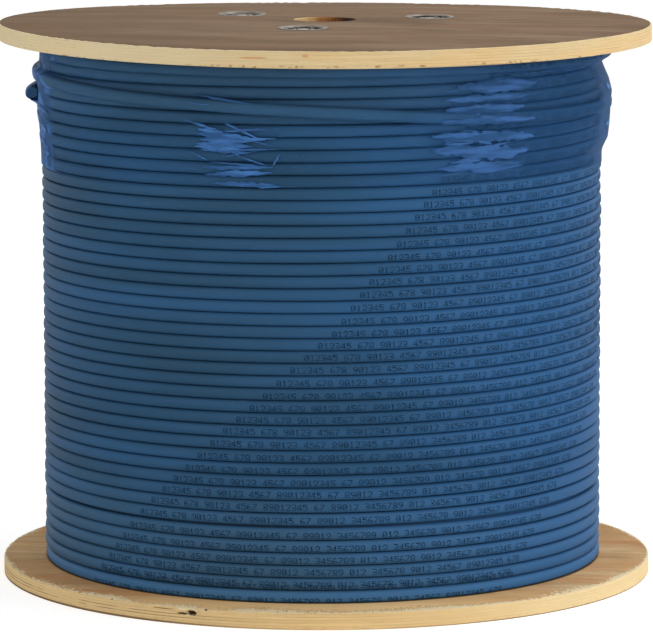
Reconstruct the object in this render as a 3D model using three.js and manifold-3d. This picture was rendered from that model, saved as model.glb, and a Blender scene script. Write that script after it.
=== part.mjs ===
// Plywood cable reel standing on one flange, wound full of round cable.
// Millimetres, +Z up the reel's axis, origin in the middle of the lower flange's underside.
import * as THREE from 'three';
import { mergeVertices } from 'three/addons/utils/BufferGeometryUtils.js';
import Module from 'manifold-3d';

// Plywood flanges
const FLANGE_DIAMETER = 380;
const FLANGE_THICKNESS = 9.5;
const FLANGE_SPACING = 301;
const SPINDLE_BORE = 35;
const RIM_EDGE_BREAK = 0.6;

// Board tube between the flanges, let into both
const CORE_DIAMETER = 150;
const CORE_WALL = 5;
const CORE_SEAT_DEPTH = 2;

// Tie rods, which run just inside the tube
const ROD_COUNT = 3;
const ROD_DIAMETER = 8;
const ROD_TO_CORE = 1;
const ROD_HOLE_PLAY = 0.5;
const FIRST_ROD_ANGLE = 19;

// Dished washers pressed from sheet, and the thin nuts in them
const WASHER_DIAMETER = 29;
const WASHER_RIM_WIDTH = 2.5;
const WASHER_SHEET = 1;
const DISH_DEPTH = 4.5;
const DISH_SEAT_WIDER = 3;
const BELOW_FACE = 0.2;
const NUT_ACROSS_FLATS = 13;
const NUT_HEIGHT = 4;

// Cable, laid turn beside turn; its last turns run back steeply over the full layer
const CABLE_DIAMETER = 6.5;
const WOUND_DIAMETER = 327;
const LEAST_TURN_GAP = 0.45;
const RETURN_TURN_GAP = 7;
const RETURN_TURNS = 1.75;
const FREE_END_ANGLE = 185;
const UPPER_LENGTH_TURNS = 22.25;
const CLIMB_TURNS = 0.5;

// Clear film stretched round the top turns
const FILM_HEIGHT = 68;
const FILM_THICKNESS = 0.5;

// Gap between pieces that touch
const CLEARANCE = 0.3;

// Facets of the round pieces
const DISC_FACETS = 64;
const TUBE_FACETS = 48;
const WASHER_FACETS = 20;
const ROD_FACETS = 16;
const STEPS_PER_TURN = 18;
const CABLE_SIDES = 5;

const REEL_HEIGHT = FLANGE_SPACING + 2 * FLANGE_THICKNESS;
const CORE_RADIUS = CORE_DIAMETER / 2;
const ROD_RADIUS = ROD_DIAMETER / 2;
const ROD_CIRCLE_RADIUS = CORE_RADIUS - CORE_WALL - ROD_TO_CORE - ROD_RADIUS;
const NUT_OUTER_FACE = BELOW_FACE + DISH_DEPTH - CLEARANCE - NUT_HEIGHT;

const PLYWOOD = { color: 0xa88c6c, roughness: 0.75, metalness: 0 };
const BOARD = { color: 0x9a7d5a, roughness: 0.9, metalness: 0 };
const ZINC = { color: 0xa9a8a2, roughness: 0.35, metalness: 0.9 };
const JACKET = { color: 0x2b5a82, roughness: 0.45, metalness: 0 };
const INNER_JACKET = { color: 0x234a6c, roughness: 0.5, metalness: 0 };
const FILM = { color: 0xd5e2ee, roughness: 0.15, metalness: 0, transparent: true, opacity: 0.25 };

const wasm = await Module();
wasm.setup();

function piece(name, geometry, finish) {
  const mesh = new THREE.Mesh(geometry, new THREE.MeshStandardMaterial(finish));
  mesh.name = name;
  return mesh;
}

// Turns a profile of [radius, height] points about Z.
function revolve(profile, facets) {
  const points = profile.map(([radius, height]) => new THREE.Vector2(radius, height));
  return new THREE.LatheGeometry(points, facets).rotateX(Math.PI / 2);
}

function ringProfile(inner, outer, low, high) {
  return [[inner, low], [outer, low], [outer, high], [inner, high], [inner, low]];
}

// Shifts a path of [radius, height] points sideways, with mitred corners.
function offsetPath(path, distance) {
  const normals = path.slice(1).map(([radius, height], i) => {
    const along = new THREE.Vector2(radius - path[i][0], height - path[i][1]).normalize();
    return new THREE.Vector2(along.y, -along.x);
  });
  return path.map(([radius, height], i) => {
    const before = normals[Math.max(i - 1, 0)];
    const after = normals[Math.min(i, normals.length - 1)];
    const mitre = before.clone().add(after).normalize();
    mitre.multiplyScalar(distance / mitre.dot(before));
    return [radius + mitre.x, height + mitre.y];
  });
}

function toSolid(geometry) {
  const bare = geometry.clone();
  bare.deleteAttribute('normal');
  bare.deleteAttribute('uv');
  const merged = mergeVertices(bare);
  const corners = merged.index.array;
  const triVerts = [];
  for (let i = 0; i < corners.length; i += 3) {
    const [a, b, c] = corners.slice(i, i + 3);
    if (a !== b && b !== c && c !== a) triVerts.push(a, b, c);
  }
  const vertProperties = merged.attributes.position.array;
  const mesh = new wasm.Mesh({ numProp: 3, vertProperties, triVerts: new Uint32Array(triVerts) });
  return new wasm.Manifold(mesh);
}

function toGeometry(solid) {
  const mesh = solid.getMesh();
  const geometry = new THREE.BufferGeometry();
  geometry.setAttribute('position', new THREE.BufferAttribute(mesh.vertProperties, 3));
  geometry.setIndex(new THREE.BufferAttribute(mesh.triVerts, 1));
  geometry.computeVertexNormals();
  return geometry;
}

function rodAngles() {
  const turn = (2 * Math.PI) / ROD_COUNT;
  const first = THREE.MathUtils.degToRad(FIRST_ROD_ANGLE);
  return Array.from({ length: ROD_COUNT }, (_, i) => first + i * turn);
}

function onRodCircle(object, angle, height) {
  object.position.set(ROD_CIRCLE_RADIUS * Math.cos(angle), ROD_CIRCLE_RADIUS * Math.sin(angle), height);
  return object;
}

// Outward face of a dished washer, from rim to rod hole, in a flange whose outer face is at height 0.
function washerFace() {
  const rim = WASHER_DIAMETER / 2;
  const seat = (NUT_ACROSS_FLATS + DISH_SEAT_WIDER) / 2;
  const bottom = BELOW_FACE + DISH_DEPTH;
  return [
    [rim, BELOW_FACE],
    [rim - WASHER_RIM_WIDTH, BELOW_FACE],
    [seat, bottom],
    [ROD_RADIUS + CLEARANCE, bottom],
  ];
}

function washerGeometry() {
  const face = washerFace();
  const back = offsetPath(face, WASHER_SHEET).reverse();
  return revolve([...face, ...back, face[0]].reverse(), WASHER_FACETS);
}

// Pocket for a washer, carried on through the flange as the rod hole.
function washerPocket() {
  const mouth = -1;
  const floor = offsetPath(washerFace(), WASHER_SHEET + CLEARANCE);
  const wall = WASHER_DIAMETER / 2 + CLEARANCE;
  const hole = ROD_RADIUS + ROD_HOLE_PLAY;
  const through = FLANGE_THICKNESS - mouth;
  const profile = [
    [0, mouth],
    [wall, mouth],
    [wall, floor[0][1]],
    ...floor.slice(1, -1),
    [hole, floor[3][1]],
    [hole, through],
    [0, through],
  ];
  return toSolid(revolve(profile, WASHER_FACETS));
}

function nutGeometry() {
  const corner = NUT_ACROSS_FLATS / 2 / Math.cos(Math.PI / 6);
  const outline = new THREE.Shape();
  for (let i = 0; i < 6; i += 1) {
    const angle = (i * Math.PI) / 3;
    const move = i ? 'lineTo' : 'moveTo';
    outline[move](corner * Math.cos(angle), corner * Math.sin(angle));
  }
  outline.closePath();
  const hole = new THREE.Path().absarc(0, 0, ROD_RADIUS + CLEARANCE, 0, 2 * Math.PI, true);
  outline.holes.push(hole);
  return new THREE.ExtrudeGeometry(outline, {
    depth: NUT_HEIGHT,
    bevelEnabled: false,
    curveSegments: ROD_FACETS / 2,
  });
}

// Disc with its outer face at height 0 and the core's groove in its inner face.
function flangeGeometry(angles) {
  const bore = SPINDLE_BORE / 2;
  const rim = FLANGE_DIAMETER / 2;
  const grooveFloor = FLANGE_THICKNESS - CORE_SEAT_DEPTH;
  const grooveOuter = CORE_RADIUS + CLEARANCE;
  const grooveInner = CORE_RADIUS - CORE_WALL - CLEARANCE;
  let disc = toSolid(revolve([
    [bore, 0],
    [rim - RIM_EDGE_BREAK, 0],
    [rim, RIM_EDGE_BREAK],
    [rim, FLANGE_THICKNESS - RIM_EDGE_BREAK],
    [rim - RIM_EDGE_BREAK, FLANGE_THICKNESS],
    [grooveOuter, FLANGE_THICKNESS],
    [grooveOuter, grooveFloor],
    [grooveInner, grooveFloor],
    [grooveInner, FLANGE_THICKNESS],
    [bore, FLANGE_THICKNESS],
    [bore, 0],
  ], DISC_FACETS));
  for (const angle of angles) {
    const x = ROD_CIRCLE_RADIUS * Math.cos(angle);
    const y = ROD_CIRCLE_RADIUS * Math.sin(angle);
    disc = disc.subtract(washerPocket().translate(x, y, 0));
  }
  return toGeometry(disc);
}

// One end of the reel: flange, washers and nuts, with the outer face at height 0 looking down.
function reelEnd(side, angles) {
  const end = new THREE.Group();
  end.add(piece(`flange_${side}`, flangeGeometry(angles), PLYWOOD));
  angles.forEach((angle, i) => {
    const washer = piece(`dished_washer_${side}_${i + 1}`, washerGeometry(), ZINC);
    end.add(onRodCircle(washer, angle, 0));
    const nut = piece(`nut_${side}_${i + 1}`, nutGeometry(), ZINC);
    nut.rotation.z = angle * (i + 1);
    end.add(onRodCircle(nut, angle, NUT_OUTER_FACE));
  });
  return end;
}

function coreTube() {
  const end = FLANGE_THICKNESS - CORE_SEAT_DEPTH + CLEARANCE;
  const profile = ringProfile(CORE_RADIUS - CORE_WALL, CORE_RADIUS, end, REEL_HEIGHT - end);
  return piece('core_tube', revolve(profile, TUBE_FACETS), BOARD);
}

function tieRod(angle, i) {
  const end = NUT_OUTER_FACE;
  const profile = [
    [0, end],
    [ROD_RADIUS, end],
    [ROD_RADIUS, REEL_HEIGHT - end],
    [0, REEL_HEIGHT - end],
  ];
  return onRodCircle(piece(`tie_rod_${i + 1}`, revolve(profile, ROD_FACETS), ZINC), angle, 0);
}

// Route of the outermost cable. It rises turn by turn from the lower flange, climbs one layer
// at the upper flange in the half turn where it reverses, and runs back down over itself.
const LAYER_RADIUS = (WOUND_DIAMETER - CABLE_DIAMETER) / 2;
const LAYER_STEP = (CABLE_DIAMETER + LEAST_TURN_GAP) / Math.cos(Math.PI / STEPS_PER_TURN);
const LOWEST_TURN = FLANGE_THICKNESS + CLEARANCE + CABLE_DIAMETER / 2;
const HIGHEST_TURN = REEL_HEIGHT - LOWEST_TURN;
const WINDING_SPAN = HIGHEST_TURN - LOWEST_TURN;
const RISING_TURNS = Math.floor(WINDING_SPAN / (CABLE_DIAMETER + LEAST_TURN_GAP));
const PITCH = WINDING_SPAN / RISING_TURNS;
const RETURN_PITCH = CABLE_DIAMETER + RETURN_TURN_GAP;
const REVERSAL = RISING_TURNS + CLIMB_TURNS / 2;
const LAST_STEP = Math.round((REVERSAL + RETURN_TURNS) * STEPS_PER_TURN);
const JOINING_STEP = LAST_STEP - Math.round(UPPER_LENGTH_TURNS * STEPS_PER_TURN);

function routePoint(step) {
  const turn = step / STEPS_PER_TURN;
  const back = (LAST_STEP - step) / STEPS_PER_TURN;
  const angle = THREE.MathUtils.degToRad(FREE_END_ANGLE) - back * 2 * Math.PI;
  const climb = THREE.MathUtils.smoothstep(turn, REVERSAL - CLIMB_TURNS, REVERSAL);
  const radius = LAYER_RADIUS + climb * LAYER_STEP;
  const rise = Math.min(turn, RISING_TURNS) * PITCH;
  const fall = Math.max(turn - REVERSAL, 0) * RETURN_PITCH;
  return new THREE.Vector3(radius * Math.cos(angle), radius * Math.sin(angle), LOWEST_TURN + rise - fall);
}

function routeDirection(step) {
  return routePoint(step + 1).sub(routePoint(step - 1)).normalize();
}

// Points of one length of cable, straight for a cable diameter at each end.
function lengthPoints(firstStep, lastStep) {
  const points = [];
  for (let step = firstStep + 1; step < lastStep; step += 1) points.push(routePoint(step));
  const start = routePoint(firstStep);
  const startDirection = routeDirection(firstStep);
  const end = routePoint(lastStep);
  const endDirection = routeDirection(lastStep);
  const straight = CABLE_DIAMETER + CLEARANCE / 2;
  points.unshift(
    start.clone().addScaledVector(startDirection, CLEARANCE / 2),
    start.clone().addScaledVector(startDirection, straight),
  );
  points.push(
    end.clone().addScaledVector(endDirection, -straight),
    end.clone().addScaledVector(endDirection, -CLEARANCE / 2),
  );
  return points;
}

// Tube with flat ends round a line of points, one corner of its section looking away from the axis.
function cableGeometry(points) {
  const positions = [];
  const triangles = [];
  const last = points.length - 1;
  points.forEach((point, i) => {
    const from = points[Math.max(i - 1, 0)];
    const to = points[Math.min(i + 1, last)];
    const ahead = to.clone().sub(from).normalize();
    if (i === 1) ahead.copy(point).sub(from).normalize();
    if (i === last - 1) ahead.copy(to).sub(point).normalize();
    const outward = new THREE.Vector3(point.x, point.y, 0);
    outward.addScaledVector(ahead, -outward.dot(ahead)).normalize();
    const upward = outward.clone().cross(ahead);
    for (let side = 0; side < CABLE_SIDES; side += 1) {
      const angle = (side / CABLE_SIDES) * 2 * Math.PI;
      const corner = point.clone();
      corner.addScaledVector(outward, Math.cos(angle) * CABLE_DIAMETER / 2);
      corner.addScaledVector(upward, Math.sin(angle) * CABLE_DIAMETER / 2);
      positions.push(corner.x, corner.y, corner.z);
    }
  });
  for (let i = 0; i < last; i += 1) {
    for (let side = 0; side < CABLE_SIDES; side += 1) {
      const a = i * CABLE_SIDES + side;
      const b = i * CABLE_SIDES + ((side + 1) % CABLE_SIDES);
      triangles.push(a, a + CABLE_SIDES, b, b, a + CABLE_SIDES, b + CABLE_SIDES);
    }
  }
  const far = last * CABLE_SIDES;
  for (let side = 1; side < CABLE_SIDES - 1; side += 1) {
    triangles.push(0, side, side + 1);
    triangles.push(far, far + side + 1, far + side);
  }
  const geometry = new THREE.BufferGeometry();
  geometry.setAttribute('position', new THREE.Float32BufferAttribute(positions, 3));
  geometry.setIndex(triangles);
  geometry.computeVertexNormals();
  return geometry;
}

// Least gap between two turns, measured on points close together along the middle of the cable.
function leastTurnGap() {
  const between = 4;
  const line = [];
  for (let step = 0; step < LAST_STEP; step += 1) {
    for (let k = 0; k < between; k += 1) {
      line.push(routePoint(step).lerp(routePoint(step + 1), k / between));
    }
  }
  const halfTurn = (STEPS_PER_TURN / 2) * between;
  let least = Infinity;
  line.forEach((point, i) => {
    for (let j = i + halfTurn; j < line.length; j += 1) least = Math.min(least, point.distanceTo(line[j]));
  });
  return least - CABLE_DIAMETER;
}

function innerLayers() {
  const inner = CORE_RADIUS + CLEARANCE;
  const chordRadius = LAYER_RADIUS * Math.cos(Math.PI / STEPS_PER_TURN);
  const outer = chordRadius - CABLE_DIAMETER / 2 - CLEARANCE;
  const low = FLANGE_THICKNESS + CLEARANCE;
  const profile = ringProfile(inner, outer, low, REEL_HEIGHT - low);
  return piece('cable_inner_layers', revolve(profile, DISC_FACETS), INNER_JACKET);
}

// Film drawn tight over the returning turns and down on to the full layer.
function filmBand() {
  const facetRise = 1 / Math.cos(Math.PI / DISC_FACETS);
  const overLayer = (WOUND_DIAMETER / 2 + CLEARANCE) * facetRise;
  const overReturn = overLayer + LAYER_STEP * facetRise;
  const top = REEL_HEIGHT - FLANGE_THICKNESS - CLEARANCE;
  const returnEnd = routePoint(LAST_STEP).z - CABLE_DIAMETER / 2 - CLEARANCE;
  const slopeEnd = returnEnd - LAYER_STEP;
  const bottom = Math.min(top - FILM_HEIGHT, slopeEnd - CABLE_DIAMETER);
  const inside = [
    [overLayer, bottom],
    [overLayer, slopeEnd],
    [overReturn, returnEnd],
    [overReturn, top],
  ];
  const outside = inside.map(([radius, height]) => [radius + FILM_THICKNESS, height]);
  return piece('stretch_film_band', revolve([...outside, ...inside.reverse(), outside[0]], DISC_FACETS), FILM);
}

const reel = new THREE.Group();
reel.add(reelEnd('lower', rodAngles()));
const upperEnd = reelEnd('upper', rodAngles().map((angle) => -angle));
upperEnd.rotation.x = Math.PI;
upperEnd.position.z = REEL_HEIGHT;
reel.add(upperEnd);
reel.add(coreTube());
rodAngles().forEach((angle, i) => reel.add(tieRod(angle, i)));
reel.add(innerLayers());
reel.add(piece('cable_turns_lower', cableGeometry(lengthPoints(0, JOINING_STEP)), JACKET));
reel.add(piece('cable_turns_upper', cableGeometry(lengthPoints(JOINING_STEP, LAST_STEP)), JACKET));
reel.add(filmBand());

console.log(`least gap between turns of cable: ${leastTurnGap().toFixed(3)} mm`);

export default reel;
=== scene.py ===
# Plywood reel of blue cable on a pale floor. Metres, +Z up the reel's axis.
import math
import bmesh
import bpy
import numpy as np
from mathutils import Matrix, Vector


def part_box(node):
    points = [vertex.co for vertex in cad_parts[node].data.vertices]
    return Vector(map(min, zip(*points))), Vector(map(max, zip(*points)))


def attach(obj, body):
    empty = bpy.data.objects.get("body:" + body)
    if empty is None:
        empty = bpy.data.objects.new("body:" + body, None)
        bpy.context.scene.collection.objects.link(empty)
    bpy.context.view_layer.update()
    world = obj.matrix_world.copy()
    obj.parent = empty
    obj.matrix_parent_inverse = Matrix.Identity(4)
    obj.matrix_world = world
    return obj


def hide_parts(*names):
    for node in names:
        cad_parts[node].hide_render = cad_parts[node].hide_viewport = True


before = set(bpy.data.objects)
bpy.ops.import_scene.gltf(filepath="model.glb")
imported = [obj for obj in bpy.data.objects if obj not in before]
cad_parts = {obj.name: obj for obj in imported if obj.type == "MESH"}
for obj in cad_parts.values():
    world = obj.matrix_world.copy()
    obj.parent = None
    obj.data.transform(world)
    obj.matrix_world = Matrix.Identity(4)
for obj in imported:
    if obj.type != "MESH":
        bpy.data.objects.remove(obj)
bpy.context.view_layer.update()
scene = bpy.context.scene


# ----------------------------------------
# Camera and studio. The reel stands a little below eye level, seen through a long lens, on a
# pale floor under soft light that comes mostly from the right.

def put(name, data):
    """A new object with that data, in the scene."""
    made = bpy.data.objects.new(name, data)
    scene.collection.objects.link(made)
    return made


CAMERA_DISTANCE = 2.79
CAMERA_ELEVATION = math.radians(7.84)
CAMERA_ROLL = 0.0025
CAMERA_YAW = -0.0005
AIM_HEIGHT = 0.1482
PICTURE_WIDTH_PX = 653
FOCAL_LENGTH_PX = 4750

lens = bpy.data.cameras.new("camera")
lens.sensor_width = 36
lens.lens = FOCAL_LENGTH_PX * lens.sensor_width / PICTURE_WIDTH_PX
camera = put("camera", lens)
camera.location = (
    0,
    -CAMERA_DISTANCE * math.cos(CAMERA_ELEVATION),
    AIM_HEIGHT + CAMERA_DISTANCE * math.sin(CAMERA_ELEVATION),
)
camera.rotation_euler = (math.pi / 2 - CAMERA_ELEVATION, CAMERA_ROLL, CAMERA_YAW)
scene.camera = camera
scene.view_settings.view_transform = "Standard"


def soft_lamp(name, place, target, width, watts):
    """A square lamp of that width, turned from its place towards the target."""
    light = bpy.data.lights.new(name, "AREA")
    light.size = width
    light.energy = watts
    lamp = put(name, light)
    lamp.location = place
    lamp.rotation_euler = (Vector(target) - Vector(place)).to_track_quat("-Z", "Y").to_euler()


REEL_MIDDLE = (0, 0, 0.16)
soft_lamp("lamp_right", (2.5, -1.3, 0.8), REEL_MIDDLE, 1.5, 35)
soft_lamp("lamp_left", (-1.9, -2.0, 0.7), REEL_MIDDLE, 1.6, 15)
soft_lamp("lamp_above", (1.1, 0.6, 1.9), REEL_MIDDLE, 1.4, 12)


def math_node(operation, swapped=False):
    """A method that joins a field and other values with a Math node."""
    def joined_by_node(field, *others):
        values = (*others, field) if swapped else (field, *others)
        sockets = dict(enumerate(values))
        return field.finish.node("ShaderNodeMath", {"operation": operation}, sockets)
    return joined_by_node


class Field:
    """A shader socket. Sums and products of fields add the Math nodes that work them out."""

    def __init__(self, finish, socket):
        self.finish = finish
        self.socket = socket

    __add__ = __radd__ = math_node("ADD")
    __sub__ = math_node("SUBTRACT")
    __rsub__ = math_node("SUBTRACT", swapped=True)
    __mul__ = __rmul__ = math_node("MULTIPLY")
    __truediv__ = math_node("DIVIDE")
    __pow__ = math_node("POWER")
    __mod__ = math_node("FLOORED_MODULO")
    __abs__ = math_node("ABSOLUTE")
    least = math_node("MINIMUM")
    most = math_node("MAXIMUM")

    def above(self, edge, soft):
        """0 below the edge and 1 above it, over a soft step."""
        settings = {"interpolation_type": "SMOOTHSTEP"}
        sockets = {"Value": self, "From Min": edge - soft, "From Max": edge + soft}
        return self.finish.node("ShaderNodeMapRange", settings, sockets)

    def below(self, edge, soft):
        return 1 - self.above(edge, soft)


class Finish:
    """The nodes of a material, or of the world round the reel, under construction."""

    def __init__(self, name, kind="Material"):
        self.owner = getattr(bpy.data, kind.lower() + "s").new(name)
        self.owner.use_nodes = True
        self.tree = self.owner.node_tree
        self.tree.nodes.clear()
        self.output = self.tree.nodes.new("ShaderNodeOutput" + kind)

    def node(self, kind, settings=None, sockets=None, out=0):
        """Adds a shader node with those settings and inputs, and returns one of its outputs."""
        made = self.tree.nodes.new(kind)
        for name, value in (settings or {}).items():
            setattr(made, name, value)
        for name, value in (sockets or {}).items():
            if isinstance(value, Field):
                self.tree.links.new(value.socket, made.inputs[name])
            else:
                made.inputs[name].default_value = value
        return Field(self, made.outputs[out])

    def place(self, stretch=(1, 1, 1)):
        """Position on the reel in metres, each axis multiplied by its stretch."""
        return self.stretched(self.node("ShaderNodeTexCoord", out="Object"), stretch)

    def vector(self, operation, *values, out=0):
        sockets = dict(enumerate(values))
        return self.node("ShaderNodeVectorMath", {"operation": operation}, sockets, out)

    def stretched(self, vector, stretch):
        return self.vector("MULTIPLY", vector, stretch)

    def turned(self, vector, degrees):
        sockets = {"Vector": vector, "Angle": math.radians(degrees)}
        return self.node("ShaderNodeVectorRotate", {"rotation_type": "Z_AXIS"}, sockets)

    def parts(self, vector):
        """The x, y and z of a vector."""
        return [self.node("ShaderNodeSeparateXYZ", None, {0: vector}, out=k) for k in range(3)]

    def noise(self, where, scale, detail=4, roughness=0.5, out="Fac"):
        """Noise over a field, or over the position multiplied by a stretch."""
        if not isinstance(where, Field):
            where = self.place(where)
        sockets = {"Vector": where, "Scale": scale, "Detail": detail, "Roughness": roughness}
        return self.node("ShaderNodeTexNoise", None, sockets, out)

    def number_mix(self, mask, number_a, number_b):
        """Number a where the mask is 0 and number b where it is 1."""
        return (1 - mask) * number_a + mask * number_b

    def mix(self, mask, colour_a, colour_b):
        """Colour a where the mask is 0 and colour b where it is 1."""
        sockets = {0: mask, 6: as_colour(colour_a), 7: as_colour(colour_b)}
        return self.node("ShaderNodeMix", {"data_type": "RGBA"}, sockets, out=2)

    def coated(self, colour, *coats):
        """A colour with others laid over it in turn, each with the mask that shows it."""
        for mask, over in coats:
            colour = self.mix(mask, colour, over)
        return colour

    def bump(self, height, depth, strength):
        sockets = {"Height": height, "Distance": depth, "Strength": strength}
        return self.node("ShaderNodeBump", None, sockets)

    def surface(self, **sockets):
        """The Principled shader; socket names are written with underscores for spaces."""
        named = {name.replace("_", " "): as_colour(value) for name, value in sockets.items()}
        return self.node("ShaderNodeBsdfPrincipled", None, named)

    def done(self, shader):
        self.tree.links.new(shader.socket, self.output.inputs["Surface"])
        return self.owner


def as_colour(value):
    return (*value, 1) if isinstance(value, tuple) and len(value) == 3 else value


def srgb(red, green, blue):
    """A colour given as it looks on a screen, 0 to 255, in the linear light of a shader."""
    return tuple(
        c / 255 / 12.92 if c / 255 <= 0.04045 else ((c / 255 + 0.055) / 1.055) ** 2.4
        for c in (red, green, blue)
    )


def mesh_of(name, points, faces):
    mesh = bpy.data.meshes.new(name)
    mesh.from_pydata(np.reshape(points, (-1, 3)).tolist(), [], faces)
    mesh.update()
    return mesh


FLOOR_HALF = 6.0
FLOOR_GLOW = 1.78
GLOW_SHARE = 0.38
ROOM_LIGHT = 0.55
WHITE = (1, 1, 1, 1)


def floor_finish():
    """A pale matt floor, which glows a little where the camera sees it."""
    finish = Finish("pale_floor")
    lit = finish.surface(Base_Color=srgb(244, 244, 242), Roughness=0.9)
    white = finish.node("ShaderNodeEmission", None, {"Color": WHITE, "Strength": FLOOR_GLOW})
    seen = finish.node("ShaderNodeLightPath", out="Is Camera Ray")
    shaders = {0: seen * GLOW_SHARE, 1: lit, 2: white}
    return finish.done(finish.node("ShaderNodeMixShader", None, shaders))


floor_corners = [
    (-FLOOR_HALF, -FLOOR_HALF, 0), (FLOOR_HALF, -FLOOR_HALF, 0),
    (FLOOR_HALF, FLOOR_HALF, 0), (-FLOOR_HALF, FLOOR_HALF, 0),
]
floor_mesh = mesh_of("floor", floor_corners, [(0, 1, 2, 3)])
floor_mesh.materials.append(floor_finish())
floor = put("floor", floor_mesh)

room = Finish("white_room", "World")
seen = room.node("ShaderNodeLightPath", out="Is Camera Ray")
mirrored = room.node("ShaderNodeLightPath", out="Is Glossy Ray")
strength = room.number_mix(seen.most(mirrored), ROOM_LIGHT, 1)
sky = room.node("ShaderNodeBackground", None, {"Color": WHITE, "Strength": strength})
scene.world = room.done(sky)


# ----------------------------------------
# Flanges. Two discs sawn from thin plywood, bored for the spindle, with pockets for the washers
# and a groove for the core. The upper one has brown veneer and the lower one pale; their sawn
# rims show the plies.

MM = 0.001
REEL_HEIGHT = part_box("flange_upper")[1].z
FLANGE_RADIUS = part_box("flange_lower")[1].x
FLANGE_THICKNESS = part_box("flange_lower")[1].z
CORE_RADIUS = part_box("core_tube")[1].x
BORE_RADIUS = 17.5 * MM
CORE_WALL = 5 * MM
CORE_SEAT_DEPTH = 2 * MM
SEAT_PLAY = 0.3 * MM
ROD_CIRCLE_RADIUS = 65 * MM
ROD_ANGLES = [math.radians(19 + 120 * i) for i in range(3)]
ROD_RADIUS = 4 * MM
WASHER_RADIUS = 14.5 * MM
WASHER_RIM_WIDTH = 2.5 * MM
WASHER_SHEET = 1 * MM
DISH_DEPTH = 4.5 * MM
DISH_BOTTOM_RADIUS = 8 * MM
BELOW_FACE = 0.2 * MM
FACE_VENEER = 0.6 * MM
PLY = (FLANGE_THICKNESS - 2 * FACE_VENEER) / 5
FLANGE_SEGMENTS = 720
FINE_STEP = 0.8 * MM
COARSE_STEP = 12 * MM
SAME_POINT = 1e-7
UPPER_CUP = 2.4 * MM
UPPER_DOME = 1.1 * MM
UPPER_LEAN = 0.9 * MM
WOUND_TO_LEFT = 2.2 * MM
# Radius of the painted shadow at the cable's foot on the lower flange
FOOT_SHADOW_RADIUS = 163 * MM
POCKET_PLAY = 0.4 * MM
ROD_HOLE_PLAY = 0.5 * MM
# The edges of the rim: how deep the veneer is torn, and how far that reaches over the rim
TORN_DEPTH, TORN_HEIGHT = 0.55 * MM, 1.3 * MM
OTHER_EDGE_DEPTH, OTHER_EDGE_HEIGHT = 0.15 * MM, 0.8 * MM
SUNK_DEPTH, SUNK_HEIGHT = 0.35 * MM, 0.5 * MM


def smooth_step(value, low, high):
    t = np.clip((value - low) / (high - low), 0, 1)
    return t * t * (3 - 2 * t)


def rounded(corners, radius, steps=4):
    """The closed outline through these (radius, height) corners, each rounded off."""
    outline = []
    for i, corner in enumerate(corners):
        corner = np.array(corner, float)
        before = np.array(corners[i - 1]) - corner
        after = np.array(corners[(i + 1) % len(corners)]) - corner
        start = corner + before * min(radius / np.linalg.norm(before), 0.45)
        end = corner + after * min(radius / np.linalg.norm(after), 0.45)
        for t in np.linspace(0, 1, steps + 1):
            outline.append(start * (1 - t) ** 2 + corner * 2 * t * (1 - t) + end * t * t)
    return outline


def divided(outline, longest, beyond):
    """Adds points along an outline, no further apart than longest, past the radius beyond."""
    points = []
    for here, ahead in zip(outline, outline[1:] + outline[:1]):
        pieces = 1
        if min(here[0], ahead[0]) > beyond:
            pieces = max(1, math.ceil(np.linalg.norm(ahead - here) / longest))
        points += [here + (ahead - here) * k / pieces for k in range(pieces)]
    return points


def welded(mesh, turn_outward=False):
    """The mesh with its doubled points made one."""
    shape = bmesh.new()
    shape.from_mesh(mesh)
    bmesh.ops.remove_doubles(shape, verts=shape.verts, dist=SAME_POINT)
    if turn_outward:
        bmesh.ops.recalc_face_normals(shape, faces=shape.faces)
    shape.to_mesh(mesh)
    shape.free()
    return mesh


def turned_mesh(name, outline, segments):
    """A closed (radius, height) outline turned round the vertical axis."""
    around = np.arange(segments) * 2 * math.pi / segments
    radii, heights = np.array(outline).T
    points = np.empty((segments, len(radii), 3))
    points[:, :, 0] = np.cos(around)[:, None] * radii
    points[:, :, 1] = np.sin(around)[:, None] * radii
    points[:, :, 2] = heights
    first = np.arange(points[:, :, 0].size).reshape(segments, -1)
    beside = np.roll(first, -1, axis=0)
    corners = [first, beside, np.roll(beside, -1, axis=1), np.roll(first, -1, axis=1)]
    quads = np.stack(corners, axis=2).reshape(-1, 4)
    return welded(mesh_of(name, points, quads.tolist()), turn_outward=True)


def shaded(mesh, sharp_degrees=35):
    mesh.polygons.foreach_set("use_smooth", [True] * len(mesh.polygons))
    mesh.set_sharp_from_angle(angle=math.radians(sharp_degrees))
    return mesh


def carved(mesh, tools, operation="DIFFERENCE"):
    """The mesh cut by other meshes, or cut down to them."""
    blank = put("blank", mesh)
    helpers = [put("tool", tool) for tool in tools]
    for helper in helpers:
        boolean = blank.modifiers.new("cut", "BOOLEAN")
        boolean.object = helper
        boolean.operation = operation
        boolean.solver = "EXACT"
    cut = blank.evaluated_get(bpy.context.evaluated_depsgraph_get())
    result = bpy.data.meshes.new_from_object(cut)
    for helper in [blank, *helpers]:
        bpy.data.objects.remove(helper)
    return result


def add_piece(name, mesh, finish, slot, *nodes):
    """Puts a mesh on the reel in place of the CAD nodes that it stands for."""
    mesh.materials.clear()
    mesh.materials.append(finish)
    made = put(name, mesh)
    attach(made, "root")
    if nodes:
        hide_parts(*nodes)
    return made


def bowed(x, y):
    """How far the upper flange has warped up: cupped front to back, domed, higher on its left."""
    cup = UPPER_CUP * (1 - (y / FLANGE_RADIUS) ** 2)
    dome = UPPER_DOME * (1 - (x * x + y * y) / FLANGE_RADIUS ** 2)
    return cup + dome - UPPER_LEAN * x / FLANGE_RADIUS


def on_rod_circle(angle, height=0.0):
    return (ROD_CIRCLE_RADIUS * math.cos(angle), ROD_CIRCLE_RADIUS * math.sin(angle), height)


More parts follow.
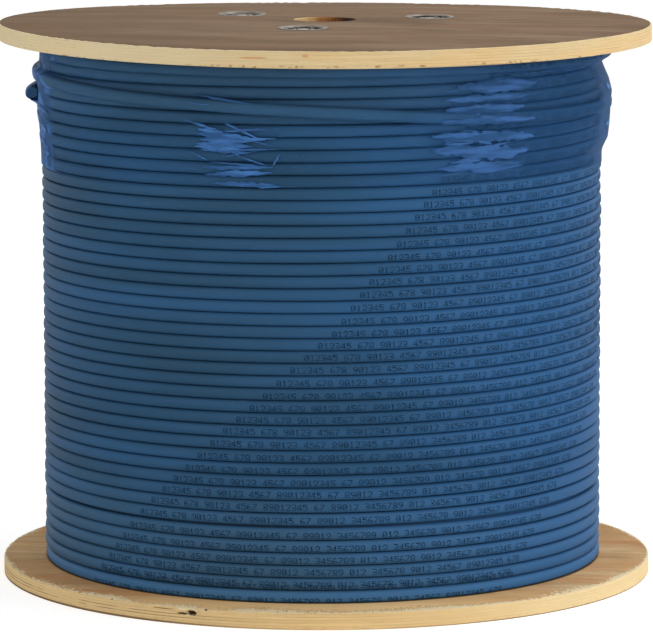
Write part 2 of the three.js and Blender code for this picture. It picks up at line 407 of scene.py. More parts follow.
def pocket_mesh(angle):
    """The space for a washer and its rod, in a flange whose outer face is at height 0."""
    wall = WASHER_RADIUS + POCKET_PLAY
    floor = BELOW_FACE + DISH_DEPTH + WASHER_SHEET + SEAT_PLAY
    shelf = BELOW_FACE + WASHER_SHEET + SEAT_PLAY
    hole = ROD_RADIUS + ROD_HOLE_PLAY
    through = FLANGE_THICKNESS + 1 * MM
    mesh = turned_mesh("pocket", [
        (0, -1 * MM), (wall, -1 * MM), (wall, shelf),
        (WASHER_RADIUS - WASHER_RIM_WIDTH + 0.6 * MM, shelf),
        (DISH_BOTTOM_RADIUS + 0.8 * MM, floor),
        (hole, floor), (hole, through), (0, through),
    ], 64)
    mesh.transform(Matrix.Translation(on_rod_circle(angle)))
    return mesh


def ripple(around, seed, slowest, fastest, parts=24):
    """An even roughness round a rim, from 0 to 1 for most of its length."""
    random = np.random.default_rng(seed)
    total = np.zeros_like(around)
    for cycles in random.integers(slowest, fastest, parts):
        total += np.sin(cycles * around + random.uniform(0, 2 * math.pi))
    return 0.5 + total / math.sqrt(parts) / 2


def flange_mesh(name, seed, torn_face, chips, bow=0):
    """Flange with its outer face at height 0. A chip is (azimuth, height, width, tall, deep)."""
    groove_outer = CORE_RADIUS + SEAT_PLAY
    groove_inner = CORE_RADIUS - CORE_WALL - SEAT_PLAY
    groove_floor = FLANGE_THICKNESS - CORE_SEAT_DEPTH
    outline = rounded([
        (BORE_RADIUS, 0), (FLANGE_RADIUS, 0), (FLANGE_RADIUS, FLANGE_THICKNESS),
        (groove_outer, FLANGE_THICKNESS), (groove_outer, groove_floor),
        (groove_inner, groove_floor), (groove_inner, FLANGE_THICKNESS),
        (BORE_RADIUS, FLANGE_THICKNESS),
    ], 0.5 * MM)
    outline = divided(outline, FINE_STEP, FLANGE_RADIUS - 4 * MM)
    outline = divided(outline, COARSE_STEP, 0)
    mesh = turned_mesh(name, outline, FLANGE_SEGMENTS)
    mesh = carved(mesh, [pocket_mesh(angle) for angle in ROD_ANGLES])
    points = np.empty(len(mesh.vertices) * 3)
    mesh.vertices.foreach_get("co", points)
    points = points.reshape(-1, 3)
    radius = np.hypot(points[:, 0], points[:, 1])
    around = np.arctan2(points[:, 1], points[:, 0])
    outermost = smooth_step(radius, FLANGE_RADIUS - 2.6 * MM, FLANGE_RADIUS - 0.3 * MM)
    to_torn = np.abs(points[:, 2] - torn_face)
    to_other = FLANGE_THICKNESS - to_torn
    torn = ripple(around, seed, 40, 240).clip(0, 1)
    torn = torn * ripple(around, seed + 1, 2, 14).clip(0.2, 1)
    torn = torn * outermost
    inward = (1 - smooth_step(to_torn, 0, TORN_HEIGHT)) * torn * TORN_DEPTH
    inward += (1 - smooth_step(to_other, 0, OTHER_EDGE_HEIGHT)) * torn * OTHER_EDGE_DEPTH
    for azimuth, height, width, tall, deep in chips:
        beside = np.angle(np.exp(1j * (around - math.radians(azimuth)))) * FLANGE_RADIUS / width
        above = (points[:, 2] - height) / tall
        jagged = 1 + 0.5 * (ripple(around, seed + 2, 150, 400) - 0.5)
        away = np.hypot(beside, above) * jagged
        inward += outermost * deep * (1 - smooth_step(away, 0.5, 1.15))
    sunk = (1 - smooth_step(to_torn, 0, SUNK_HEIGHT)) * torn * SUNK_DEPTH
    points[:, 2] += np.where(torn_face > 0, -sunk, sunk) - bow * bowed(points[:, 0], points[:, 1])
    points[:, :2] *= (1 - inward / radius)[:, None]
    mesh.vertices.foreach_set("co", points.ravel())
    mesh.update()
    return mesh


# Chips and knot holes as (azimuth, height, half width, half height, depth)
KNOT_HOLE = (246.7, FLANGE_THICKNESS - 2.7 * MM, 3.7 * MM, 1.7 * MM, 1.8 * MM)
KNOT_TAIL = (245.0, FLANGE_THICKNESS - 3.3 * MM, 3.4 * MM, 0.6 * MM, 1.0 * MM)
LOOSE_SPLINTER = (245.9, FLANGE_THICKNESS - 0.9 * MM, 7.5 * MM, 0.6 * MM, 0.0)
RIM_CRACK = (241.2, FLANGE_THICKNESS - 1.4 * MM, 7.5 * MM, 0.3 * MM, 0.0)
RIM_CHIP = (249.3, FLANGE_THICKNESS - 0.4 * MM, 1.5 * MM, 0.6 * MM, 0.8 * MM)
SMALL_CHIP = (230.6, FLANGE_THICKNESS - 0.1 * MM, 1.2 * MM, 0.5 * MM, 0.5 * MM)
BACK_CHIP = (103.8, 0.2 * MM, 2.4 * MM, 0.9 * MM, 0.8 * MM)
PALE_WOOD = srgb(240, 220, 176)
HOLE_DARK = srgb(52, 34, 24)
CRACK_BROWN = srgb(128, 88, 52)
RESIN_RED = srgb(208, 156, 110)
TORN_PALE = srgb(250, 232, 190)
TORN_LIP = srgb(140, 98, 62)
GRAIN_DEGREES = 6


class Plywood(Finish):
    """Finish of a flange whose lower face is at bottom. Its wear and painted light go from 0,
    clean,
    to 1: one number wears its rim and veneer and also sets the painted light and shade on it. The
    longer its torn reach, the further in from the rim its face veneer is torn off."""

    def __init__(self, name, bottom, wear_and_painted_light, torn_reach):
        super().__init__(name)
        self.wear_and_painted_light = wear_and_painted_light
        self.torn_reach = torn_reach
        self.here = self.place()
        self.x, self.y, height = self.parts(self.here)
        self.radius = (self.x * self.x + self.y * self.y) ** 0.5
        self.to_left = self.x.below(-60 * MM, 70 * MM)
        self.to_right = self.x.above(90 * MM, 80 * MM)
        self.to_front = self.y.below(-150 * MM, 25 * MM)
        up = self.parts(self.node("ShaderNodeNewGeometry", out="True Normal"))[2]
        self.flat = abs(up).above(0.75, 0.1)
        self.speckle = self.noise(self.here, 900, 3, 0.7)

        self.level = (height - bottom - FACE_VENEER) / PLY
        self.from_glue = abs((self.level + 0.5) % 1 - 0.5)
        self.fibres = self.noise((1, 1, 22), 60, 5, 0.7)
        gaps = self.noise((1, 1, 5), 190, 2, 0.6).above(0.62, 0.04)
        in_run = self.noise(self.here, 9, 2) + self.to_left * 0.07 - self.to_right * 0.1
        gaps = gaps * self.from_glue.below(0.24, 0.08) * in_run.above(0.55, 0.04)
        self.gaps = gaps * (1 - self.level.above(1.4, 0.3) * 0.8)

        swirl = self.stretched(self.noise((1.2, 3, 1), 4, out="Color"), (0, 0.05, 0))
        self.along = self.turned(self.vector("ADD", self.here, swirl), GRAIN_DEGREES)
        self.grain = self.streaks(24, 420)
        self.pores = self.streaks(130, 2300, 2, 0.5).above(0.62, 0.06)
        self.blotch = self.streaks(7, 16)

        splinters = self.noise((1, 0.6, 1), 420, 4, 0.75)
        ragged = splinters + self.noise(self.here, 30, 2) * 0.8 - 0.78
        ragged = ragged * torn_reach * (1 + self.to_left * wear_and_painted_light * 0.9)
        self.reach = self.radius + ragged * abs(self.y) / self.radius

    def streaks(self, across, along, detail=4, roughness=0.6):
        """Noise drawn out along the grain."""
        stretch = (across, along, across)
        return self.noise(self.stretched(self.along, stretch), 1, detail, roughness)

    def past_edge(self, reach):
        return reach.above(FLANGE_RADIUS - 0.9 * MM, 0.2 * MM)

    def sawn_rim(self, wood):
        """Plies, glue lines, joints that have opened and the edge of the outer veneer, its dark
        line part veneer and part painted shadow; the right side is painted lighter.
        """
        clean = 1 - self.wear_and_painted_light
        odd_ply = (self.level % 2).above(1, 0.02)
        end_grain = (odd_ply * abs(self.x) + (1 - odd_ply) * abs(self.y)) / self.radius
        broad = self.noise((1, 1, 5), 14, 3).above(0.56, 0.12)
        wavy = self.noise((1, 1, 4), 26, 3).above(0.5, 0.1)
        glue = self.from_glue.below(0.07, 0.06) * (wavy * 0.4 + 0.06)
        opened = self.noise((1, 1, 3), 34, 3).above(0.46, 0.05) * self.to_left
        low_joints = self.level.below(3.4, 0.2) * self.level.above(1.5, 0.2)
        joint = self.from_glue.below(0.13, 0.06) * low_joints * opened
        veneer_edge_and_shadow = (self.level - self.to_left * 0.45).below(0.02, 0.08)
        beside = (abs(self.x) / (100 * MM)).least(1) * (0.25 + self.wear_and_painted_light * 0.9)
        specks = self.noise((1, 1, 2), 210, 3, 0.7).above(0.57, 0.04)
        specks = specks * self.noise(self.here, 16, 2).above(0.46, 0.05)
        low_edge = abs(self.level - 0.3).below(0.4, 0.1)
        pits = self.speckle.above(0.62, 0.04) * self.noise(self.here, 60, 2).above(0.52, 0.05)
        return self.coated(
            wood,
            (self.fibres.above(0.5, 0.25), tuple(part * 1.22 for part in wood)),
            (end_grain * self.speckle.above(0.5, 0.25) * 0.4, srgb(198, 166, 114)),
            (broad * 0.5, srgb(222, 184, 126)),
            (glue, srgb(158, 118, 70)),
            (joint * self.wear_and_painted_light, srgb(118, 80, 44)),
            # Painted light: the rim paler towards the right, where the lamp falls on it
            (self.to_right * self.wear_and_painted_light * 0.55, srgb(246, 228, 184)),
            (self.to_left * clean * 0.5, srgb(234, 220, 182)),
            (self.gaps * 0.8, srgb(104, 78, 54)),
            # Dark line at the veneer's edge: partly the veneer, partly painted contact shadow
            (veneer_edge_and_shadow * beside * 0.85, srgb(106, 74, 48)),
            (specks * low_edge * clean * 0.75, srgb(138, 98, 60)),
            (self.flat * 0.75, TORN_PALE),
            (pits * self.flat * 0.7, srgb(140, 104, 70)),
        )

    def veneered_face(self, veneer, dark_streak, light_streak):
        """Figure, grain and pores, a painted shadow where the cable stands on it, and the lip of
        the torn edge; painted lighter towards the front and painted darker towards the left.
        """
        warm_streak = tuple(part * share for part, share in zip(dark_streak, (1.25, 0.95, 0.75)))
        # Painted shadow: a dark ring on the lower face at the foot of the cable
        beside = self.x + WOUND_TO_LEFT
        painted_foot_shadow = ((beside * beside + self.y * self.y) ** 0.5).below(FOOT_SHADOW_RADIUS, 0.8 * MM)
        lip = self.past_edge(self.reach + abs(self.y) / self.radius * 0.09 * self.torn_reach)
        return self.coated(
            dark_streak,
            (self.streaks(5, 26, 6).above(0.47, 0.14), veneer),
            (self.blotch.above(0.53, 0.1) * 0.7, light_streak),
            (self.streaks(8, 50).above(0.55, 0.08) * 0.5, warm_streak),
            (self.grain.above(0.54, 0.1) * 0.45, dark_streak),
            (self.pores * 0.3, srgb(84, 62, 46)),
            # Painted light: the lower face paler towards the front, which the coil does not shade
            (self.to_front * self.wear_and_painted_light, srgb(255, 214, 152)),
            # Painted shade: the upper face darker towards the left, away from the lamps
            (self.to_left * (1 - self.wear_and_painted_light) * 0.35, dark_streak),
            (painted_foot_shadow * self.wear_and_painted_light, srgb(44, 32, 24)),
            (lip * self.to_front * self.speckle.above(0.46, 0.1) * 0.6, TORN_LIP),
        )

    def stained(self, colour, stains):
        """Spots on the rim, each in the place and size of a chip, with its own tint."""
        for (azimuth, height, width, tall, _), tint in stains:
            angle = math.radians(azimuth)
            centre = (FLANGE_RADIUS * math.cos(angle), FLANGE_RADIUS * math.sin(angle), height)
            offset = self.vector("SUBTRACT", self.here, centre)
            offset = self.stretched(offset, (1 / width, 1 / width, 1 / tall))
            away = self.vector("LENGTH", offset, out="Value") + (self.speckle - 0.5) * 1.1
            colour = self.mix(away.below(0.85, 0.15), colour, tint)
        return colour

    def bored(self, colour):
        """The wall of the bore in painted shade: pale at its left, browner, then dark towards its
        right.
        """
        wall = self.radius.below(BORE_RADIUS + 0.8 * MM, 0.2 * MM)
        # Painted shade: the far wall of the bore darkens from left to right
        bore_half_shade = (self.x + (self.speckle - 0.5) * 0.02).above(-7 * MM, 6 * MM)
        bore_shade = (self.x + (self.speckle - 0.5) * 0.03).above(6 * MM, 7 * MM)
        bore = self.mix(bore_half_shade, srgb(214, 184, 132), srgb(168, 112, 62))
        return self.mix(wall, colour, self.mix(bore_shade, bore, srgb(52, 38, 26)))


def plywood_finish(name, bottom, wear_and_painted_light, torn_reach, wood, veneers, stains):
    """Veneered faces and a sawn rim of seven plies."""
    finish = Plywood(name, bottom, wear_and_painted_light, torn_reach)
    veneered = finish.flat * (1 - finish.past_edge(finish.reach))
    colour = finish.mix(veneered, finish.sawn_rim(wood), finish.veneered_face(*veneers))
    rim_relief = finish.fibres + finish.speckle * 0.6 - finish.gaps
    relief = finish.number_mix(veneered, rim_relief, finish.grain - finish.pores * 0.5)
    return finish.done(finish.surface(
        Base_Color=finish.bored(finish.stained(colour, stains)),
        Roughness=0.7 + finish.blotch * 0.2,
        Normal=finish.bump(relief, 0.00022, 0.7),
        Specular_IOR_Level=0.12,
    ))


UPPER_EDGE = srgb(208, 185, 142)
LOWER_EDGE = srgb(220, 188, 134)
UPPER_VENEER = srgb(138, 113, 89), srgb(110, 87, 65), srgb(157, 133, 109)
LOWER_VENEER = srgb(228, 188, 134), srgb(192, 146, 98), srgb(240, 212, 164)
UPPER_SEED = 8
LOWER_SEED = 3
# How worn each flange is; the same number also sets its painted light and shade
UPPER_WEAR_AND_PAINTED_LIGHT = 0
LOWER_WEAR_AND_PAINTED_LIGHT = 0.8
UPPER_TORN_REACH = 0.6 * MM
LOWER_TORN_REACH = 40 * MM

lower_holes = [KNOT_HOLE, KNOT_TAIL, RIM_CHIP, SMALL_CHIP]
lower_flange = flange_mesh("lower_flange", LOWER_SEED, FLANGE_THICKNESS, lower_holes)
lower_stains = [(LOOSE_SPLINTER, PALE_WOOD), (RIM_CRACK, CRACK_BROWN)]
lower_stains += [(hole, HOLE_DARK) for hole in lower_holes]
lower_plywood = plywood_finish(
    "plywood_lower", 0, LOWER_WEAR_AND_PAINTED_LIGHT, LOWER_TORN_REACH, LOWER_EDGE, LOWER_VENEER, lower_stains,
)
add_piece("lower_flange", shaded(lower_flange), lower_plywood, "plywood", "flange_lower")

upper_flange = flange_mesh("upper_flange", UPPER_SEED, 0.0, [BACK_CHIP], bow=1)
upper_flange.transform(Matrix.Translation((0, 0, REEL_HEIGHT)) @ Matrix.Scale(-1, 4, (0, 0, 1)))
upper_flange.flip_normals()
RESIN_SPOT = (266.7, REEL_HEIGHT - 2.3 * MM, 1.9 * MM, 1.0 * MM, 0.0)
RESIN_STREAK = (258, REEL_HEIGHT - 3.6 * MM, 10 * MM, 0.6 * MM, 0.0)
DIRT_ON_BACK = (103.8, REEL_HEIGHT + UPPER_CUP * 0.1, 2.8 * MM, 2.4 * MM, 0.0)
upper_stains = (RESIN_SPOT, RESIN_RED), (RESIN_STREAK, RESIN_RED), (DIRT_ON_BACK, HOLE_DARK)
upper_bottom = REEL_HEIGHT - FLANGE_THICKNESS
upper_plywood = plywood_finish(
    "plywood_upper", upper_bottom, UPPER_WEAR_AND_PAINTED_LIGHT, UPPER_TORN_REACH,
    UPPER_EDGE, UPPER_VENEER, upper_stains,
)
add_piece("upper_flange", shaded(upper_flange), upper_plywood, "plywood", "flange_upper")


# ----------------------------------------
# Core tube. Brown board wound on a slant and glued, let into the groove of each flange; it
# shows only through the spindle bore.

def board_finish():
    finish = Finish("brown_board")
    here = finish.place()
    x, y, height = finish.parts(here)
    angle = finish.node("ShaderNodeMath", {"operation": "ARCTAN2"}, {0: y, 1: x})
    strip = (height / (90 * MM) + angle / (2 * math.pi)) % 1
    seam = strip.below(0.012, 0.008)
    fluff = finish.noise(here, 320, 5, 0.7)
    board = finish.mix(fluff.above(0.5, 0.2), srgb(146, 116, 82), srgb(172, 142, 104))
    return finish.done(finish.surface(
        Base_Color=finish.mix(seam * 0.8, board, srgb(92, 70, 48)),
        Roughness=0.85,
        Normal=finish.bump(fluff * 0.4 - seam, 0.0002, 0.6),
    ))


core_foot = FLANGE_THICKNESS - CORE_SEAT_DEPTH + SEAT_PLAY
core_top = REEL_HEIGHT - core_foot + bowed(0, CORE_RADIUS)
core_outline = rounded([
    (CORE_RADIUS - CORE_WALL, core_foot), (CORE_RADIUS, core_foot),
    (CORE_RADIUS, core_top), (CORE_RADIUS - CORE_WALL, core_top),
], 0.4 * MM)
core = turned_mesh("board_core", core_outline, 160)
add_piece("board_core", shaded(core), board_finish(), "core_board", "core_tube")


# ----------------------------------------
# Tie rods. Three zinc-plated rods, threaded at both ends, run just inside the core and pull
# the flanges on to it.

THREAD_PITCH = 1.25 * MM
THREAD_DEPTH = 0.65 * MM
THREADED_LENGTH = 26 * MM
THREAD_PLAY = 0.1 * MM
TIP_CHAMFER = 1 * MM
ROD_SIDES = 32
ROD_END = BELOW_FACE + DISH_DEPTH - SEAT_PLAY - 4 * MM


def steel_finish(name, tint, roughness, face, inward, clean):
    """Zinc plate, dark with grime and painted shade further in from the flange's face than the
    clean depth and on upright faces, with spots of painted glint left bright.
    """
    finish = Finish(name)
    here = finish.place()
    depth = (finish.parts(here)[2] - face) * inward
    up = finish.parts(finish.node("ShaderNodeNewGeometry", out="Normal"))[2]
    # Painted shade on upright faces
    upright = abs(up).below(0.4, 0.2)
    # Painted glints: spots kept bright within the painted shade
    painted_glints = finish.noise(here, 380, 2).above(0.6, 0.03)
    # Grime and painted shade deeper than the clean depth
    grime_and_shade = depth.above(clean, 0.2 * MM).most(upright * 0.9) * (0.95 - painted_glints * 0.75)
    cloud = finish.noise(here, 160, 4, 0.6)
    scratch = finish.noise((1, 9, 1), 700, 2, 0.5)
    dull = finish.noise(here, 900, 3, 0.6).above(0.6, 0.08)
    return finish.done(finish.surface(
        Base_Color=finish.coated(
            srgb(*tint),
            (cloud.above(0.5, 0.2), srgb(*(part - 26 for part in tint))),
            (dull * 0.5, srgb(104, 98, 88)),
            (grime_and_shade, srgb(40, 34, 28)),
        ),
        Metallic=1.0,
        Roughness=cloud * 0.2 + dull * 0.2 + grime_and_shade * 0.2 + roughness,
        Normal=finish.bump(scratch + dull * 0.5, 0.00003, 0.5),
    ))


def ring_mesh(name, rings):
    """A closed skin over rings of points, anticlockwise seen from ahead, flat at both ends."""
    count, sides = rings.shape[:2]
    first = np.arange((count - 1) * sides).reshape(count - 1, sides)
    beside = np.roll(first, -1, axis=1)
    quads = np.stack([first, beside, beside + sides, first + sides], axis=2)
    faces = quads.reshape(-1, 4).tolist()
    faces.append(list(reversed(range(sides))))
    faces.append([(count - 1) * sides + side for side in range(sides)])
    return mesh_of(name, rings, faces)


def threaded_rod_mesh(name, angle):
    """A rod with a screw thread cut at both ends and a chamfer at each tip."""
    low, high = ROD_END, REEL_HEIGHT - ROD_END + bowed(*on_rod_circle(angle)[:2])
    fine = np.arange(0, THREADED_LENGTH, THREAD_PITCH / 6)
    heights = np.concatenate([low + fine, (high - fine)[::-1]])
    sides = np.arange(ROD_SIDES) / ROD_SIDES
    phase = (heights[:, None] / THREAD_PITCH - sides) % 1
    cut = np.abs(phase - 0.5) * 2 * THREAD_DEPTH
    from_tip = np.minimum(heights - low, high - heights)[:, None]
    fade = 1 - smooth_step(from_tip, THREADED_LENGTH - 3 * MM, THREADED_LENGTH - 1 * MM)
    chamfer = np.clip(TIP_CHAMFER - from_tip, 0, None) * 0.9
    radius = ROD_RADIUS - THREAD_PLAY - np.maximum(cut * fade, chamfer)
    turn = sides * 2 * math.pi
    rings = [radius * np.cos(turn), radius * np.sin(turn), heights[:, None] + 0 * radius]
    mesh = ring_mesh(name, np.stack(rings, axis=2))
    mesh.transform(Matrix.Translation(on_rod_circle(angle)))
    return mesh


# The rods lie deeper than the clean depth, so grime and painted shade cover them
rod_steel = steel_finish("rod_steel", (176, 174, 166), 0.3, REEL_HEIGHT + 6 * MM, -1, 6 * MM)
for i, angle in enumerate(ROD_ANGLES):
    rod = shaded(threaded_rod_mesh(f"threaded_rod_{i + 1}", angle), 50)
    add_piece(f"threaded_rod_{i + 1}", rod, rod_steel, "zinc_steel", f"tie_rod_{i + 1}")


# ----------------------------------------
# Dished washers and nuts. Each washer is pressed from sheet with a flat rim and a deep dish that
# takes a thin hexagon nut, so that hardly anything stands up from the flange.

UPPER_RIM_PROUD = 0.7 * MM
UPPER_WASHER_LEAN = math.radians(1.4)
NUT_ACROSS_FLATS = 13 * MM
NUT_HEIGHT = 4 * MM
CUT_OVERLAP = 0.01 * MM


def washer_mesh(name, proud):
    """A washer on the axis, for a flange whose outer face is at height 0."""
    rim = WASHER_RADIUS - 0.1 * MM
    land = rim - WASHER_RIM_WIDTH
    face = BELOW_FACE - proud
    bottom = BELOW_FACE + DISH_DEPTH
    hole = ROD_RADIUS + SEAT_PLAY
    outline = rounded([
        (hole, bottom), (DISH_BOTTOM_RADIUS, bottom), (land, face), (rim, face),
        (rim, face + WASHER_SHEET), (land + 0.5 * MM, face + WASHER_SHEET),
        (DISH_BOTTOM_RADIUS + 0.6 * MM, bottom + WASHER_SHEET), (hole, bottom + WASHER_SHEET),
    ], 0.7 * MM, 5)
    return turned_mesh(name, outline, 96)


def nut_mesh(name):
    """A hexagon nut with its corners chamfered at both ends, its foot at height 0."""
    flat = NUT_ACROSS_FLATS / 2
    corner = flat / math.cos(math.pi / 6)
    hexagon = turned_mesh(name, [
        (ROD_RADIUS, 0), (corner, 0), (corner, NUT_HEIGHT), (ROD_RADIUS, NUT_HEIGHT),
    ], 6)
    wall = ROD_RADIUS + SEAT_PLAY / 2
    bore = turned_mesh("nut_bore", [
        (0, -NUT_HEIGHT), (wall, -NUT_HEIGHT), (wall, 2 * NUT_HEIGHT), (0, 2 * NUT_HEIGHT),
    ], 48)
    slope = (corner - flat) * math.tan(math.radians(30))
    top = NUT_HEIGHT + CUT_OVERLAP
    barrel = turned_mesh("nut_barrel", [
        (0, -CUT_OVERLAP), (flat, -CUT_OVERLAP), (corner + CUT_OVERLAP, slope),
        (corner + CUT_OVERLAP, NUT_HEIGHT - slope), (flat, top), (0, top),
    ], 72)
    solid = carved(carved(hexagon, [barrel], "INTERSECT"), [bore])
    solid.name = name
    return solid


WASHER_TINT = (134, 128, 118)
NUT_TINT = (214, 210, 202)
upper_seat = REEL_HEIGHT + bowed(0, ROD_CIRCLE_RADIUS * 0.7)
for side, base, inward, proud in (("lower", 0, 1, 0), ("upper", upper_seat, -1, UPPER_RIM_PROUD)):
    # Washers stay bright on their rim; in the dish below it, grime and painted shade
    washer_steel = steel_finish(f"washer_steel_{side}", WASHER_TINT, 0.36, base, inward, 0.3 * MM)
    # A clean depth of 0 puts grime and painted shade on the whole nut, but for painted glints
    nut_steel = steel_finish(f"nut_steel_{side}", NUT_TINT, 0.2, base, inward, 0)
    facing = Matrix.Scale(inward, 4, (0, 0, 1))
    for i, angle in enumerate(ROD_ANGLES):
        warp = bowed(*on_rod_circle(angle)[:2]) if proud else 0
        place = Matrix.Translation(on_rod_circle(angle, (REEL_HEIGHT if proud else 0) + warp))
        washer = washer_mesh(f"pressed_washer_{side}_{i + 1}", proud)
        lean = Matrix.Rotation(UPPER_WASHER_LEAN, 4, (1, 0.4 * math.cos(3 * angle), 0))
        washer.transform(place @ (lean if proud else Matrix.Identity(4)) @ facing)
        nut = nut_mesh(f"hexagon_nut_{side}_{i + 1}")
        seat = Matrix.Translation((0, 0, ROD_END)) @ Matrix.Rotation(angle * (i + 1), 4, "Z")
        nut.transform(place @ facing @ seat)
        if inward < 0:
            washer.flip_normals()
            nut.flip_normals()
        at = f"{side}_{i + 1}"
        add_piece(washer.name, shaded(washer), washer_steel, "zinc_steel", f"dished_washer_{at}")
        add_piece(nut.name, shaded(nut, 25), nut_steel, "zinc_steel", f"nut_{at}")


# ----------------------------------------
# Cable. One length of round blue cable wound turn beside turn. The first turn lies on the lower
# flange; at the upper flange the cable climbs on to its own layer and runs two turns back.

CABLE_DIAMETER = 6.5 * MM
WOUND_RADIUS = 163 * MM
LEAST_TURN_GAP = 0.45 * MM
JACKET_RADIUS = 3.46 * MM
JACKET_SIDES = 18
PRESSED_SQUARE = 2.7
STATIONS_PER_TURN = 144
LAYER_STEP = 0.9 * CABLE_DIAMETER
RETURN_TURNS = 2
# The first turns climb in one step behind the reel, which eases into an even rise by this turn
EVEN_FROM = 10
# After this turn the winding slipped and left a gap
SLIPPED_TURN = 5
SLIP = 0.9 * MM
FREE_END_ANGLE = math.radians(185)
HIDDEN_START = 0.9
EASE_STATIONS = 400
EASE_WINDOW = 33
CUT_END = 0.86
# After so many turns back from the upper flange, how far in mm the cable has come down, and how
# far it has moved out from the layer beneath. It runs steeply, with gaps, and its end stands off.
RETURN_TURN = (0, 0.12, 0.24, 0.49, 0.75, 0.99, 1.08, 1.19, 1.24, 1.28, 1.32, 1.49, 1.75, 2.0)
RETURN_DROP = (0, 0, 0, 0.3, 6, 12.4, 14.8, 20.0, 22, 25, 28.4, 31, 28, 24.2)
RETURN_OUT = (0.4, 3.0, 4.4, 5.9, 5.6, 4.9, 5.2, 6.2, 6.4, 6.2, 5.8, 5.9, 6.2, 8.8)

lower_face = FLANGE_THICKNESS
upper_face = REEL_HEIGHT - FLANGE_THICKNESS
layer_radius = WOUND_RADIUS - CABLE_DIAMETER / 2
lowest_turn = lower_face + SEAT_PLAY + CABLE_DIAMETER / 2
highest_turn = upper_face - SEAT_PLAY - CABLE_DIAMETER / 2
rising_turns = math.floor((highest_turn - lowest_turn) / (CABLE_DIAMETER + LEAST_TURN_GAP))
pitch = (highest_turn - lowest_turn - SLIP) / rising_turns
last_turn = rising_turns + RETURN_TURNS


def wander(seed, around, along, size):
    """A slow, smooth unevenness round the reel, the same at each run."""
    total = np.zeros_like(around)
    for k in (1, 2, 3, 5, 8):
        phase = seed * 1.7 + k * 2.399
        total += np.sin(k * around + phase + along * (0.9 + 0.13 * k)) / k ** 0.7
    return total * size


def eased(turn, turns, values):
    """The values at those turns, joined by smooth steps."""
    fine = np.linspace(turns[0], turns[-1], EASE_STATIONS)
    straight = np.interp(fine, turns, values)
    window = np.hanning(EASE_WINDOW)
    padded = np.pad(straight, EASE_WINDOW // 2, mode="edge")
    return np.interp(turn, fine, np.convolve(padded, window / window.sum(), "valid"))


def around_at(turn):
    return FREE_END_ANGLE - (last_turn - turn) * 2 * math.pi


def climbed(turn):
    """How far the cable has risen by each turn number."""
    whole = np.floor(turn)
    stepped = whole + smooth_step(turn - whole, 0.55, 0.95)
    slip = SLIP * smooth_step(turn, SLIPPED_TURN + 0.55, SLIPPED_TURN + 0.95)
    return (stepped + (turn - stepped) * smooth_step(turn, 0, EVEN_FROM)) * pitch + slip


def on_winding(radius, around, height):
    """Points at that radius from the middle of the winding, as an array."""
    x, y = radius * np.cos(around) - WOUND_TO_LEFT, radius * np.sin(around)
    return np.stack([x, y, height], axis=1)


def cable_route(turn):
    """Middle of the cable at each turn number, as an array of points."""
    around = around_at(turn)
    under = 1 - smooth_step(turn, -0.35, 0.05)
    back = np.clip(turn - rising_turns, 0, None)
    climbing_on = smooth_step(turn, rising_turns - 0.2, rising_turns)
    out = eased(back, RETURN_TURN, RETURN_OUT) * climbing_on * MM
    radius = layer_radius - under * LAYER_STEP + out + wander(1, around, turn, 0.13 * MM)
    fall = eased(back, RETURN_TURN, RETURN_DROP) * MM
    uneven = wander(4, around, turn * 0.35, 0.11 * MM) * smooth_step(turn, 0.3, 1.0)
    height = lowest_turn + climbed(np.clip(turn, 0, rising_turns)) - fall + uneven
    return on_winding(radius, around, height)


def jacket_frame(points, ahead):
    """Directions away from the axis and up the jacket at points where the cable runs ahead."""
    ahead = ahead / np.linalg.norm(ahead, axis=1)[:, None]
    outward = points * (1, 1, 0)
    outward -= ahead * np.sum(outward * ahead, axis=1)[:, None]
    outward /= np.linalg.norm(outward, axis=1)[:, None]
    return outward, np.cross(outward, ahead)


def pressed(angle):
    """The jacket's section, round but a little flattened by the turns beside and over it."""
    cosine, sine = np.cos(angle), np.sin(angle)
    return tuple(np.sign(part) * np.abs(part) ** (2 / PRESSED_SQUARE) for part in (cosine, sine))


def cable_mesh(name, points):
    outward, upward = jacket_frame(points, np.gradient(points, axis=0))
    turn = np.arange(JACKET_SIDES) * -2 * math.pi / JACKET_SIDES
    bulge, spread = pressed(turn)
    across = outward[:, None] * bulge[:, None] + upward[:, None] * spread[:, None]
    ends = np.ones(len(points))
    ends[[0, -1]] = CUT_END
    return ring_mesh(name, points[:, None] + across * (JACKET_RADIUS * ends)[:, None, None])


def jacket_finish(name, light, deep):
    finish = Finish(name)
    here = finish.place()
    broad = finish.noise((1, 1, 3), 7, 4)
    fine = finish.noise(here, 1300, 3)
    row = finish.noise((4, 4, 90), 1, 3)
    x, _, height = finish.parts(here)
    # Painted light: the jacket lighter and bluer towards the right, where the lamp falls
    to_right = x.above(60 * MM, 90 * MM)
    shade = (broad * 0.5 + row * 0.5 + to_right * 0.12).above(0.53, 0.14)
    # Painted light: the lowest turn lighter, for light bounced up from the lower flange
    first_turn = height.below(16 * MM, 2 * MM)
    # Painted light: the turns near both flanges made lighter
    painted_light_near_flanges = height.below(62 * MM, 26 * MM).most(height.above(282 * MM, 12 * MM))
    scuffs = finish.noise((1, 1, 5), 75, 6, 0.7).above(0.68, 0.05)
    return finish.done(finish.surface(
        Base_Color=finish.coated(
            srgb(*deep),
            (shade, srgb(*light)),
            (first_turn * 0.6, srgb(60, 112, 162)),
            (painted_light_near_flanges * 0.15, srgb(96, 134, 166)),
            (to_right * 0.35, srgb(32, 88, 146)),
            (scuffs * 0.22, srgb(92, 134, 172)),
        ),
        Roughness=broad * 0.14 + scuffs * 0.12 + 0.46,
        Normal=finish.bump(fine + broad * 2, 0.00004, 0.5),
        Specular_IOR_Level=0.1,
    ))


